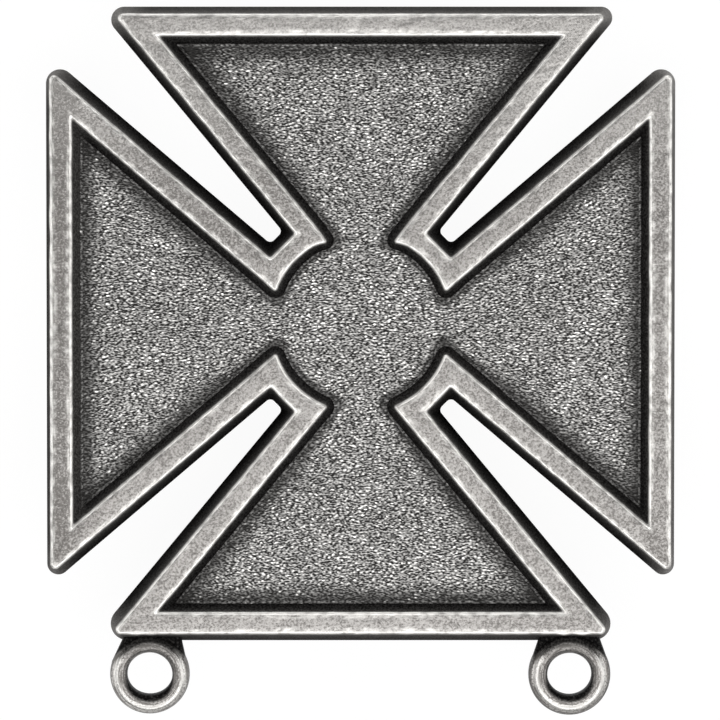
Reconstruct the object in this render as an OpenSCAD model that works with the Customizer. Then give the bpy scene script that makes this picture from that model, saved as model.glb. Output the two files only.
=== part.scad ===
// A cast cross badge that lies on its back: a flared four-armed cross with a
// raised border round a sunk field, two hanging loops on the lower edge, and two
// posts on the back, each held by a push-on clutch. The face looks along +Z and
// the loops are at -Y. All sizes are in millimetres.

/* [Cross] */
// Width over the left and right edges, at the back
cross_w = 25.4; // [24.5:0.1:30]
// Distance from the crossing of the arms to the top edge, at the back
top_reach = 12.68; // [12.2:0.01:15]
// Distance from the crossing of the arms to the bottom edge, at the back
bottom_reach = 12.97; // [12.2:0.01:15]
// Thickness from the back to the face of the border
thickness = 1.8; // [1.5:0.1:2.4]
// Angle between the flanks and the axis of the left and right arms
side_flank_angle = 40.4; // [38.5:0.05:41]
// The same for the top and bottom arms
upright_flank_angle = 39.6; // [38.5:0.05:41]
// How far a flank of the left and right arms passes outside the crossing, at the back
side_flank_offset = 0.01; // [0:0.01:0.15]
// The same for the top and bottom arms
upright_flank_offset = 0.13; // [0:0.01:0.15]
// Distance from the crossing to the closed end of a gap between arms, at the back
gap_end = 4.78; // [4.6:0.01:5.2]
// Corner radius at the tips of the top, left and right arms, at the back
tip_r = 0.57; // [0.3:0.01:0.75]
// The same for the bottom arm
bottom_tip_r = 0.68; // [0.3:0.01:0.75]

/* [Draft] */
// Draft of the flanks and the gap ends, over the thickness
draft = 0.37; // [0.1:0.01:0.45]
// Draft of the left and right edges
side_draft = 0.21; // [0.1:0.01:0.45]
// Draft of the top edge
top_draft = 0.28; // [0.1:0.01:0.45]
// Draft of the bottom edge
bottom_draft = 0.4; // [0.1:0.01:0.45]
// Size of the soft edges of the border
edge_soft = 0.07; // [0.02:0.01:0.12]

/* [Border] */
// Width of the raised border along the four straight edges, with its soft edges
border_w = 0.91; // [0.6:0.01:1.1]
// Width of the raised border along the flanks
flank_border_w = 0.95; // [0.6:0.01:1]
// Depth of the sunk field below the border
field_depth = 0.5; // [0.3:0.05:0.8]
// How far the inner wall leans out from the field to the border
wall_run = 0.35; // [0.15:0.01:0.4]
// Radius of the open middle of the field, at the face
middle_r = 3.6; // [3.5:0.01:3.8]

/* [Loops] */
// Distance from the middle of the badge to each loop, sideways
loop_x = 8.49; // [7:0.01:9]
// Distance from the lower edge at the back down to the centre of a loop
loop_below = 1.31; // [1.1:0.01:1.6]
// Outer radius of a loop
loop_r = 1.65; // [1.55:0.01:1.75]
// Radius of the eye in a loop
eye_r = 0.88; // [0.7:0.01:0.95]
// Thickness of a loop, front to back
loop_t = 1.25; // [1.15:0.05:1.4]
// Radius of the four long edges of a loop
loop_soft = 0.27; // [0.15:0.01:0.28]
// Width of the foot that joins a loop to the lower edge
foot_w = 2.5; // [2:0.05:3]
// Thickness of that foot
foot_t = 0.85; // [0.5:0.05:1]

/* [Posts] */
// Distance from the centre of the cross to each post
post_x = 7.9; // [6:0.1:8.2]
// Radius of a post
post_r = 0.55; // [0.4:0.01:0.7]
// Length of the point of a post
point_len = 0.8; // [0.4:0.1:1.2]
// Radius of the soldered foot of a post
solder_r = 1.25; // [1:0.05:1.6]

/* [Clutches] */
// Room for cloth between the cross and a clutch
cloth_gap = 1.3; // [1:0.1:2]
// Height of a clutch
clutch_h = 4.3; // [4.1:0.1:5]
// Radius of the plate of a clutch
plate_r = 4.2; // [3.5:0.1:4.4]
// Thickness of that plate
plate_t = 0.45; // [0.3:0.05:0.6]
// Radius of the barrel of a clutch
barrel_r = 2.45; // [2:0.05:2.8]
// Width of a wing
wing_w = 3.4; // [2.5:0.1:4]
// Reach of a wing from the axis of the clutch
wing_reach = 4.6; // [4:0.1:5]
// Thickness of a wing
wing_t = 0.4; // [0.3:0.05:0.6]
// Slope of a wing
wing_slope = 22; // [10:1:25]
// Gap round a post in its clutch
post_gap = 0.05; // [0.03:0.01:0.1]

/* [Hidden] */

silver = [0.66, 0.65, 0.64];
nickel = [0.72, 0.71, 0.68];
$fn = 48;

// Levels above the surface that the clutches rest on
back_z = clutch_h + cloth_gap;
face_z = back_z + thickness;
field_z = face_z - field_depth;

// A post ends a little above the closed floor of its clutch's bore
clutch_floor_t = 0.5;
tip_gap = 0.2;
post_len = back_z - clutch_floor_t - tip_gap;

// The lowest point of the loops and the top edge are equally far from the origin
loop_drop = bottom_reach + loop_below;
cross_y = (loop_drop + loop_r - top_reach) / 2;
loop_lift = 0.12;
loop_mid_z = back_z + loop_lift + loop_t / 2;

// Points on a rounded outer corner, on a corner at a gap's end and between those
tip_steps = 5;
gap_steps = 4;
end_steps = 3;
quarter_steps = 2 * (tip_steps + gap_steps) + end_steps;

// Corner radii: in a gap's end at the back and at the face, in the field's corners,
// where the border's flanks meet the open middle, at the tips at the face, and the
// least one at a tip
gap_corner_r = 0.22;
gap_corner_face_r = 0.1;
field_corner_r = 0.05;
middle_corner_r = 0.12;
tip_face_r = 0.1;
tip_least_r = 0.04;

// Soft edge of the back
back_soft = 0.05;

function unit(angle) = [cos(angle), sin(angle)];

// Where the lines n1.p = c1 and n2.p = c2 meet, for normals at two angles
function meet(a1, c1, a2, c2) =
    let (det = sin(a2 - a1))
    [(c1 * sin(a2) - c2 * sin(a1)) / det, (c2 * cos(a1) - c1 * cos(a2)) / det];

// Points on an arc about a centre, from one angle to another
function arc(centre, r, a1, a2, steps) =
    [for (i = [0:steps - 1]) centre + r * unit(a1 + (a2 - a1) * i / (steps - 1))];

// A rounded outer corner between two edge lines
function outer_corner(a1, c1, a2, c2, r) =
    arc(meet(a1, c1 - r, a2, c2 - r), r, a1, a2, tip_steps);

// A rounded inner corner between two edge lines
function inner_corner(a1, c1, a2, c2, r) =
    arc(meet(a1, c1 + r, a2, c2 + r), -r, a1, a2, gap_steps);

// A rounded corner where a flank, n.p = c, meets the circle about the centre
function circle_corner(angle, c, side, circle_r, r) =
    let (
        along = sqrt(pow(circle_r + r, 2) - pow(c + r, 2)),
        centre = (c + r) * unit(angle) + side * along * unit(angle - 90),
        polar = atan2(centre.y, centre.x),
        first = side > 0 ? angle : polar,
        last = side > 0 ? polar : angle
    )
    arc(centre, -r, first, last, gap_steps);

// Points strictly between two others on a line, or on the circle about the centre
function between(p, q) =
    [for (i = [1:end_steps]) p + (q - p) * i / (end_steps + 1)];
function between_on_circle(p, q, r) =
    let (a = atan2(p.y, p.x), b = atan2(q.y, q.x))
    [for (i = [1:end_steps]) r * unit(a + (b - a) * i / (end_steps + 1))];

// The right, top, left and bottom arms as [edge distance, flank angle, flank distance].
// lean is 0 at the back and 1 at the face. edge_in and flank_in move the edges and
// the flanks inwards.
function arms(lean, edge_in, flank_in) =
    let (
        side = [
            cross_w / 2 - side_draft * lean - edge_in,
            side_flank_angle,
            side_flank_offset - draft * lean - flank_in,
        ],
        flank = upright_flank_offset - draft * lean - flank_in,
        top = [top_reach - top_draft * lean - edge_in, upright_flank_angle, flank],
        bottom = [bottom_reach - bottom_draft * lean - edge_in, upright_flank_angle, flank]
    )
    [side, top, side, bottom];

// One quarter of the outline, from the middle of one arm to the middle of the next,
// as if the first arm pointed along +X. r_1 and r_2 are the radii at their tips.
function outline_quarter(arm_1, arm_2, r_1, r_2, end, gap_r) =
    let (
        flank_1 = 90 + arm_1[1],
        flank_2 = -arm_2[1],
        corner_1 = inner_corner(flank_1, arm_1[2], 45, end, gap_r),
        corner_2 = inner_corner(45, end, flank_2, arm_2[2], gap_r)
    )
    concat(
        outer_corner(0, arm_1[0], flank_1, arm_1[2], r_1),
        corner_1,
        between(corner_1[gap_steps - 1], corner_2[0]),
        corner_2,
        outer_corner(flank_2, arm_2[2], 90, arm_2[0], r_2)
    );

// The same for the field, whose arms open into a round middle with corners of
// radius middle_corner
function field_quarter(arm_1, arm_2, r, middle, middle_corner) =
    let (
        flank_1 = 90 + arm_1[1],
        flank_2 = -arm_2[1],
        corner_1 = circle_corner(flank_1, arm_1[2], 1, middle, middle_corner),
        corner_2 = circle_corner(flank_2, arm_2[2], -1, middle, middle_corner)
    )
    concat(
        outer_corner(0, arm_1[0], flank_1, arm_1[2], r),
        corner_1,
        between_on_circle(corner_1[gap_steps - 1], corner_2[0], middle),
        corner_2,
        outer_corner(flank_2, arm_2[2], 90, arm_2[0], r)
    );

function turned(points, angle) =
    [for (p = points) [p.x * cos(angle) - p.y * sin(angle), p.x * sin(angle) + p.y * cos(angle)]];

// A whole ring of the outline. inset moves every edge inwards by the same distance.
function outline_ring(lean, inset) =
    let (
        arm = arms(lean, inset, inset),
        r = [for (back_r = [tip_r, tip_r, tip_r, bottom_tip_r])
            max(back_r + (tip_face_r - back_r) * lean - inset, tip_least_r)],
        end = gap_end - draft * lean - inset,
        gap_r = gap_corner_r + (gap_corner_face_r - gap_corner_r) * lean
    )
    [for (q = [0:3])
        let (next = (q + 1) % 4)
        each turned(outline_quarter(arm[q], arm[next], r[q], r[next], end, gap_r), 90 * q)];

// A whole ring of the field's wall. sink is 0 at the face and 1 at the field.
function field_ring(sink, inset) =
    let (
        run = wall_run * sink + inset,
        arm = arms(1, border_w + run, flank_border_w + run),
        middle = middle_r - run,
        corner = middle_corner_r + run
    )
    [for (q = [0:3])
        let (next = (q + 1) % 4)
        each turned(field_quarter(arm[q], arm[next], field_corner_r, middle, corner), 90 * q)];

// The flat faces that fill a ring: one for each arm, and facets round the centre.
// start is the ring's first point and centre is the point in its middle.
function flat_faces(start, centre) =
    let (
        n = 4 * quarter_steps,
        arm_first = quarter_steps - tip_steps - 1,
        arm_count = 2 * tip_steps + 2,
        middle = [for (q = [0:3]) for (i = [tip_steps:arm_first]) start + q * quarter_steps + i],
        m = len(middle)
    )
    concat(
        [for (q = [0:3]) [for (i = [0:arm_count - 1]) start + (q * quarter_steps + arm_first + i) % n]],
        [for (k = [0:m - 1]) [middle[k], middle[(k + 1) % m], centre]]
    );

function reversed(face) = [for (i = [len(face) - 1:-1:0]) face[i]];

// A closed solid through rings of the outline or the field, each at its own level
module skinned(rings, levels) {
    n = 4 * quarter_steps;
    last = len(rings) - 1;
    points = concat(
        [for (k = [0:last]) for (p = rings[k]) [p.x, p.y, levels[k]]],
        [[0, 0, levels[0]], [0, 0, levels[last]]]
    );
    walls = [for (k = [0:last - 1]) for (i = [0:n - 1])
        let (a = k * n + i, b = k * n + (i + 1) % n)
        each [[a, a + n, b + n], [a, b + n, b]]];
    bottom = flat_faces(0, n * (last + 1));
    top = [for (face = flat_faces(last * n, n * (last + 1) + 1)) reversed(face)];
    polyhedron(points = points, faces = concat(bottom, walls, top), convexity = 6);
}

// The cast plate: back, leaning outer walls, raised border and sunk field
module plate() {
    skinned(
        [
            outline_ring(0, back_soft),
            outline_ring(0, 0),
            outline_ring(1, 0),
            outline_ring(1, edge_soft),
            field_ring(0, -edge_soft),
            field_ring(0, 0),
            field_ring(1, 0),
        ],
        [
            back_z,
            back_z + back_soft,
            face_z - edge_soft,
            face_z,
            face_z,
            face_z - edge_soft,
            field_z,
        ]
    );
}

// A ring of rounded oblong section, with a straight-walled eye
module loop_ring() {
    wire = loop_r - eye_r;
    land = loop_t - 2 * loop_soft;
    rotate_extrude() {
        translate([eye_r, -land / 2]) square([wire, land]);
        translate([eye_r + loop_soft, -loop_t / 2]) square([wire - 2 * loop_soft, loop_t]);
        for (x = [eye_r + loop_soft, loop_r - loop_soft], y = [-land / 2, land / 2])
            translate([x, y]) circle(r = loop_soft);
    }
}

// The foot between a loop and the lower edge of the cross, open at the eye. Its
// sides leave the loop near its widest place and end inside the edge of the cross.
module loop_foot() {
    waist_y = 0.35;
    waist_x = sqrt(pow(loop_r, 2) - pow(waist_y, 2)) - 0.05;
    reach = loop_below + bottom_draft;
    half = foot_w / 2;
    linear_extrude(foot_t) difference() {
        polygon([
            [-waist_x, waist_y], [-half, loop_below], [-half, reach],
            [half, reach], [half, loop_below], [waist_x, waist_y],
        ]);
        circle(r = (eye_r + loop_r) / 2);
    }
}

module hanging_loop(side) {
    translate([side * loop_x, cross_y - loop_drop, 0]) {
        translate([0, 0, loop_mid_z]) loop_ring();
        translate([0, 0, loop_mid_z - foot_t / 2]) loop_foot();
    }
}

// A round post with a pointed end and a soldered foot, turned about its axis
module post(side) {
    root = -0.3;
    solder_t = 0.3;
    point_r = 0.12;
    translate([side * post_x, cross_y, back_z]) mirror([0, 0, 1]) rotate_extrude() polygon([
        [0, root], [solder_r, root], [solder_r, solder_t], [post_r, solder_t],
        [post_r, post_len - point_len], [point_r, post_len], [0, post_len],
    ]);
}

// The cross with its loops, cast in one, and the posts soldered to it
module cross() {
    color(silver) union() {
        translate([0, cross_y, 0]) plate();
        for (side = [-1, 1]) {
            hanging_loop(side);
            post(side);
        }
    }
}

// One wing of a clutch: a tab with a round end at -Y, which slopes down from below
// the plate
module wing() {
    below_plate = 0.5;
    tab = wing_reach / cos(wing_slope) - wing_w / 2;
    translate([0, 0, clutch_h - plate_t - below_plate]) rotate([wing_slope, 0, 0])
        translate([0, 0, -wing_t]) linear_extrude(wing_t) {
            translate([-wing_w / 2, -tab]) square([wing_w, tab]);
            translate([0, -tab]) circle(d = wing_w);
        }
}

// A push-on clutch: a plate against the cloth, a barrel that grips the post, and
// two wings that open it
module clutch(side) {
    bore_r = post_r + post_gap;
    soft = 0.5;
    color(nickel) translate([side * post_x, cross_y, 0]) difference() {
        union() {
            translate([0, 0, clutch_h - plate_t]) cylinder(r = plate_r, h = plate_t);
            translate([0, 0, soft]) cylinder(r = barrel_r, h = clutch_h - soft - plate_t / 2);
            cylinder(r1 = barrel_r - soft, r2 = barrel_r, h = soft);
            for (turn = [0, 180]) rotate(turn) wing();
        }
        translate([0, 0, clutch_floor_t]) cylinder(r = bore_r, h = clutch_h);
    }
}

cross();
clutch(-1);  // clutch_left
clutch(1);  // clutch_right
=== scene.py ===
import bpy
import numpy as np
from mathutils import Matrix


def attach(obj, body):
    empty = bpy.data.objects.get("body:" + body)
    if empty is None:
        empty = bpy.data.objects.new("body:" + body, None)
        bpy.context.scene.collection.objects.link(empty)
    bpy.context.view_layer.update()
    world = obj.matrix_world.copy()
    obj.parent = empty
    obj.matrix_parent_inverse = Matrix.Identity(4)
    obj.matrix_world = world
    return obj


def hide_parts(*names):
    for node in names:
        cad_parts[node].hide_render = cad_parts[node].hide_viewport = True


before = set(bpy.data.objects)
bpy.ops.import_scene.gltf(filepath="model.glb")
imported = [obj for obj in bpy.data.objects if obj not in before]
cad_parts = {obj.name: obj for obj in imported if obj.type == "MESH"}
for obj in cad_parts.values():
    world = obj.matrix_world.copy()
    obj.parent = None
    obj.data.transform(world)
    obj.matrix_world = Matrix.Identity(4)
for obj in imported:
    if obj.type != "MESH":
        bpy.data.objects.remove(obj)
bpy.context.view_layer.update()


# The cast plate is one brass casting with leaning walls and a raised border. It is
# silver plated, darkened all over and then rubbed, so its face is satin, its edges
# are bright and its walls stay nearly black.
metres_in_mm = 0.001
plate_back = 5.6
plate_face = 7.4
crossing_y = 1.625
# right, top, left and bottom arm: the edge's distance from the crossing at the back,
# its draft, the flanks' angle to the arm, how far they pass outside the crossing at
# the back, and the width of the border along them
edge_reach = np.array([12.7, 12.68, 12.7, 12.97])
edge_draft = np.array([0.21, 0.28, 0.21, 0.4])
flank_angle = np.radians([40.4, 39.6, 40.4, 39.6])
flank_out = np.array([0.01, 0.13, 0.01, 0.13])
flank_border = np.array([0.92, 0.86, 0.92, 0.91])
# each arm's two tips at the back, the one further round counter-clockwise first
tip_radius = np.array([[0.57, 0.45], [0.53, 0.45], [0.45, 0.57], [0.68, 0.68]])
tip_face_radius, least_tip_radius = 0.2, 0.03
wall_draft = 0.37
gap_end = 4.78
gap_corner_back, gap_corner_face = 0.22, 0.1
edge_border = 0.91
wall_run = 0.35
field_tip_radius = 0.05
middle_radius = 3.6
middle_corner = 0.11
edge_softness = 0.08
edge_points, tip_points, flank_points, gap_points, end_points = 58, 14, 74, 9, 11


def direction(angle):
    """The unit vector at an angle: its cosine along X and its sine along Y."""
    return np.stack([np.cos(angle), np.sin(angle)], axis=-1)


def crossing(angle_1, reach_1, angle_2, reach_2):
    """Where two lines meet, each given by the angle of its normal and its distance."""
    across = reach_1 * np.sin(angle_2) - reach_2 * np.sin(angle_1)
    along = reach_2 * np.cos(angle_1) - reach_1 * np.cos(angle_2)
    return np.array([across, along]) / np.sin(angle_2 - angle_1)


def corner(angle_1, reach_1, angle_2, reach_2, radius, count):
    """The arc that rounds the corner of two lines: its centre is where both lines
    meet once they are moved inwards by the radius, and its angle runs from one
    normal to the other. A negative radius rounds a hollow corner."""
    centre = crossing(angle_1, reach_1 - radius, angle_2, reach_2 - radius)
    return centre + radius * direction(np.linspace(angle_1, angle_2, count))


def nose(angle, reach, side, circle, radius, count):
    """The arc that rounds the corner of a flank and the round middle: its centre is
    the radius outside both, and its angle runs between the two touching points."""
    along = np.sqrt((circle + radius) ** 2 - (reach + radius) ** 2)
    centre = (reach + radius) * direction(angle) + side * along * direction(angle - np.pi / 2)
    polar = np.arctan2(centre[1], centre[0])
    turn = np.linspace(angle, polar, count) if side > 0 else np.linspace(polar, angle, count)
    return centre - radius * direction(turn)


def inner_shares(count):
    """Evenly spaced shares between 0 and 1, without these two."""
    return np.arange(1, count + 1)[:, None] / (count + 1)


def between(start, end, count):
    """Points evenly spaced on a straight line, without its two ends."""
    return start + (end - start) * inner_shares(count)


def quarter(first, tip_1, gap_1, end, gap_2, tip_2, last):
    """A quarter of a ring: half an edge, a tip, a flank, the end of the gap, the
    next flank, its tip and half an edge, the arcs joined by straight lines."""
    return np.concatenate([
        [first], between(first, tip_1[0], edge_points), tip_1,
        between(tip_1[-1], gap_1[0], flank_points), gap_1, end, gap_2,
        between(gap_2[-1], tip_2[0], flank_points), tip_2,
        between(tip_2[-1], last, edge_points),
    ])


def turned(points, angle):
    """Points turned about the origin by the plane rotation through an angle."""
    c, s = np.cos(angle), np.sin(angle)
    return points @ np.array([[c, s], [-s, c]])


def outline(lean, inset):
    """A ring round the plate. Each line's distance is its reach at the back, less
    its draft times the lean and less the inset; the lean is 0 at the back and 1 at
    the face."""
    edge = edge_reach - edge_draft * lean - inset
    flank = flank_out - wall_draft * lean - inset
    tip = np.maximum(tip_radius + (tip_face_radius - tip_radius) * lean - inset, least_tip_radius)
    end = gap_end - wall_draft * lean - inset
    hollow = gap_corner_back + (gap_corner_face - gap_corner_back) * lean
    quarters = []
    for arm in range(4):
        after = (arm + 1) % 4
        up, down = np.pi / 2 + flank_angle[arm], -flank_angle[after]
        gap_1 = corner(up, flank[arm], np.pi / 4, end, -hollow, gap_points)
        gap_2 = corner(np.pi / 4, end, down, flank[after], -hollow, gap_points)
        tip_1 = corner(0, edge[arm], up, flank[arm], tip[arm, 0], tip_points)
        tip_2 = corner(down, flank[after], np.pi / 2, edge[after], tip[after, 1], tip_points)
        middle = between(gap_1[-1], gap_2[0], end_points)
        first, last = np.array([edge[arm], 0.0]), np.array([0.0, edge[after]])
        ring = quarter(first, tip_1, gap_1, middle, gap_2, tip_2, last)
        quarters.append(turned(ring, arm * np.pi / 2))
    return np.concatenate(quarters)


def field_edge(sink, inset):
    """A ring round the field, whose arms open into a round middle. Each line's
    distance is the outline's at the face, less the border and the wall's run times
    the sink; the sink is 0 at the face and 1 at the field."""
    run = wall_run * sink + inset
    edge = edge_reach - edge_draft - edge_border - run
    flank = flank_out - wall_draft - flank_border - run
    circle, round_off = middle_radius - run, middle_corner + run
    quarters = []
    for arm in range(4):
        after = (arm + 1) % 4
        up, down = np.pi / 2 + flank_angle[arm], -flank_angle[after]
        gap_1 = nose(up, flank[arm], 1, circle, round_off, gap_points)
        gap_2 = nose(down, flank[after], -1, circle, round_off, gap_points)
        tip_1 = corner(0, edge[arm], up, flank[arm], field_tip_radius, tip_points)
        tip_2 = corner(down, flank[after], np.pi / 2, edge[after], field_tip_radius, tip_points)
        from_angle = np.arctan2(gap_1[-1, 1], gap_1[-1, 0])
        to_angle = np.arctan2(gap_2[0, 1], gap_2[0, 0])
        turn = from_angle + (to_angle - from_angle) * inner_shares(end_points)[:, 0]
        first, last = np.array([edge[arm], 0.0]), np.array([0.0, edge[after]])
        ring = quarter(first, tip_1, gap_1, circle * direction(turn), gap_2, tip_2, last)
        quarters.append(turned(ring, arm * np.pi / 2))
    return np.concatenate(quarters)


# A relief sheet is a square that repeats, a little larger than the badge
sheet_size, sheet_points = 27.0, 1200


def rolled_noise(seed, wave, spread, stretch=1.0, slant=0.0):
    """A relief sheet with a mean of 0 and a deviation of 1: white noise whose waves
    are weighted by a bell curve of the logarithm of their length about one length
    in mm, the waves along one slanted direction being stretched."""
    white = np.random.default_rng(seed).standard_normal((sheet_points, sheet_points))
    step = np.fft.fftfreq(sheet_points, sheet_size / sheet_points)
    across, along = np.meshgrid(step, step)
    c, s = np.cos(slant), np.sin(slant)
    rate = np.hypot((across * c + along * s) * stretch, along * c - across * s)
    octaves = np.log(np.maximum(rate * wave, 1e-6)) / spread
    sheet = np.fft.ifft2(np.fft.fft2(white) * np.exp(-0.5 * octaves ** 2)).real
    return sheet / sheet.std()


def sampled(sheet, x, y):
    """The sheet's height at points, blended from the four nearest of its own."""
    count = sheet_points
    u, v = (x / sheet_size + 0.5) * count, (y / sheet_size + 0.5) * count
    i, j = np.floor(u).astype(int), np.floor(v).astype(int)
    fu, fv = u - i, v - j
    i, j = i % count, j % count
    i2, j2 = (i + 1) % count, (j + 1) % count
    low = sheet[j, i] * (1 - fu) + sheet[j, i2] * fu
    high = sheet[j2, i] * (1 - fu) + sheet[j2, i2] * fu
    return low * (1 - fv) + high * fv


def smooth_step(value, low, high):
    """0 up to the low value, 1 from the high one, and 3 t^2 - 2 t^3 between them."""
    t = np.clip((value - low) / (high - low), 0, 1)
    return t * t * (3 - 2 * t)


def bell(distance, width):
    """A bell curve, exp(-(distance / width)^2): 1 in the middle and 0 far away."""
    return np.exp(-(distance / width) ** 2)


def wrapped_faces(rows, columns, first=0):
    """Four sided faces of a grid whose rows are closed rings, one above the other."""
    row = np.arange(rows - 1)[:, None] * columns
    here, beside = np.arange(columns), (np.arange(columns) + 1) % columns
    faces = [row + here, row + beside, row + columns + beside, row + columns + here]
    return first + np.stack(faces, axis=-1).reshape(-1, 4)


def end_caps(rows, columns, first=0):
    """The two faces that close such a grid: its first ring backwards and its last."""
    ring = first + np.arange(columns)
    return [ring[::-1], ring + (rows - 1) * columns]


def build_piece(name, points, faces, caps=(), masks=(), flat=()):
    """Puts points in mm, four sided faces and many sided caps into a mesh, with a
    value or a vector for each point in each mask. The caps, and the faces listed in
    flat, are shaded flat and the rest smooth."""
    mesh = bpy.data.meshes.new(name)
    mesh.vertices.add(len(points))
    mesh.vertices.foreach_set("co", (points * metres_in_mm).astype(np.float32).ravel())
    loops = np.concatenate([faces.ravel(), *caps]).astype(np.int32)
    sizes = np.concatenate([np.full(len(faces), 4), [len(cap) for cap in caps]]).astype(np.int32)
    starts = np.concatenate([[0], np.cumsum(sizes)[:-1]]).astype(np.int32)
    mesh.loops.add(len(loops))
    mesh.loops.foreach_set("vertex_index", loops)
    mesh.polygons.add(len(sizes))
    mesh.polygons.foreach_set("loop_start", starts)
    smooth = np.arange(len(sizes)) < len(faces)
    if len(flat):
        smooth[flat] = False
    mesh.update(calc_edges=True)
    mesh.polygons.foreach_set("use_smooth", smooth)
    for mask, values in dict(masks).items():
        kind, part = ("FLOAT", "value") if values.ndim == 1 else ("FLOAT_VECTOR", "vector")
        attribute = mesh.attributes.new(mask, kind, "POINT")
        attribute.data.foreach_set(part, values.astype(np.float32).ravel())
    piece = bpy.data.objects.new(name, mesh)
    bpy.context.scene.collection.objects.link(piece)
    return piece


slow_relief = rolled_noise(11, 2.2, 0.5)
worn_patches = rolled_noise(12, 0.7, 0.5)

# Rings up the outer wall, whose foot is rounded: lean, inset, height over the back
# and darkening
outer_rings = np.array([
    [0.0, 0.05, 0.0, 0.96],
    [0.0, 0.014, 0.014, 0.98],
    [0.0, 0.0, 0.05, 0.99],
    [0.12, 0.0, 0.216, 0.985],
    [0.3, 0.0, 0.54, 0.975],
    [0.5, 0.0, 0.9, 0.955],
    [0.68, 0.0, 1.224, 0.925],
    [0.82, 0.0, 1.476, 0.88],
    [0.92, 0.0, 1.656, 0.8],
])
# Rings over the soft edge of the border, a quarter circle of the edge's softness:
# inset, height, distance from the edge (less than 0, being outside the flat border)
# and darkening
round_turn = np.radians([12, 28, 45, 62, 78, 90])
rim_rings = np.stack([
    edge_softness * (1 - np.cos(round_turn)),
    plate_face - edge_softness * (1 - np.sin(round_turn)),
    -edge_softness * np.cos(round_turn),
    np.cos(round_turn) ** 3,
], axis=-1)
outer_rim_dark, inner_rim_dark = 0.85, 0.8
# Rings across the border: their distance from the nearer edge, which shrinks where
# they would pass this share of its width
border_steps = np.array([0.025, 0.05, 0.08, 0.12, 0.16, 0.21, 0.28, 0.38])
border_share = 0.48
# Rings down the inner wall, to below the field: sink, height and darkening
inner_rings = np.array([
    [0.08, 7.29, 0.86],
    [0.2, 7.24, 0.92],
    [0.36, 7.17, 0.95],
    [0.55, 7.09, 0.965],
    [0.75, 7.0, 0.975],
    [0.92, 6.93, 0.985],
    [1.0, 6.86, 0.99],
    [1.0, 6.78, 0.99],
])
far_from_edge = 9.0


def plate_rings():
    """The rings of the plate from its back, up its outer wall, over the rounded
    edge, across the border, over its inner edge and down the inner wall. A ring on
    the border is a fixed distance from the nearer edge, towards the other edge.
    With each ring come its height, its distance from an edge and its darkening."""
    rows = [(outline(lean, inset), plate_back + rise, far_from_edge, dark)
            for lean, inset, rise, dark in outer_rings]
    rows += [(outline(1, inset), height, away, outer_rim_dark * dark)
             for inset, height, away, dark in rim_rings]
    outer, inner = rows[-1][0], field_edge(0, -edge_softness)
    width = np.linalg.norm(inner - outer, axis=1, keepdims=True)
    across = (inner - outer) / width * np.minimum(1, border_share * width / border_steps[-1])
    rows += [(outer + across * step, plate_face, step, 0.0) for step in border_steps]
    rows += [(inner - across * step, plate_face, step, 0.0) for step in border_steps[::-1]]
    rows += [(field_edge(0, -inset), height, away, inner_rim_dark * dark)
             for inset, height, away, dark in rim_rings[::-1]]
    rows += [(field_edge(sink, 0), height, far_from_edge, dark) for sink, height, dark in inner_rings]
    return [np.array(part) for part in zip(*rows)]


rings, heights, from_edge, wall_share = plate_rings()
rows, columns = rings.shape[:2]
x, y = rings[..., 0], rings[..., 1]
height = np.repeat(heights[:, None], columns, axis=1)
from_edge, wall_share = from_edge[:, None], wall_share[:, None]
on_border = np.maximum(from_edge, 0)
on_face = smooth_step(height, plate_back + 0.4, plate_face)

# The rubbed border is uneven by a few thousandths and sags by a hundredth at its edges
edge_sag, sag_width = 0.012, 0.16
uneven = 0.005 * sampled(worn_patches, x, y) + 0.004 * sampled(slow_relief, x, y)
height += np.where(height > plate_face - 0.03, np.minimum(uneven, 0.0) * on_face, 0)
height -= edge_sag * bell(on_border, sag_width) * on_face
# Filed by hand, the edges wander by about a hundredth
x = x + 0.006 * on_face * sampled(slow_relief, y, x)
y = y + 0.002 * on_face * sampled(worn_patches, y * 0.6, x * 0.6)
# Two small bulges of the lower edge are left above each loop, where it was trimmed
bulge_places, bulge_width, bulge_reach = (-9.05, -8.45, 8.2, 8.95), 0.2, 0.05
for bulge in bulge_places:
    near = bell(x - bulge, bulge_width) * smooth_step(-y, 12.35, 12.6)
    y = y - bulge_reach * near * on_face * (from_edge < 0.1)
# The two noses beside the top arm are drawn out a little further to the middle
nose_x, nose_y, nose_spread = 1.34, 3.39, 0.45
for side in (-1, 1):
    near = bell(np.hypot(x - side * nose_x, y - nose_y), nose_spread)
    x = x - 0.05 * side * near
    y = y - 0.12 * near
plate_points = np.stack([x, y + crossing_y, height], axis=-1).reshape(-1, 3)

# Rubbing left each edge bright, a fainter line beside it and a soft glow between the two,
# and a painted light makes the face a little lighter towards the top
bright = bell(on_border, 0.035) * (0.35 + 0.65 * smooth_step(sampled(worn_patches, x, y), -1.2, 0.8))
faint = smooth_step(sampled(worn_patches, y, x), -0.2, 1.0)
second_line = 0.4 * bell(from_edge - 0.14, 0.08) * faint
glow = 0.26 * bell(on_border, 0.17) * (0.5 + 0.5 * faint)
top_painted_light = 0.12 * smooth_step(y, 5, 10)
rubbed_and_painted_light = np.clip(bright + second_line + glow + top_painted_light, 0, 1)
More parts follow.
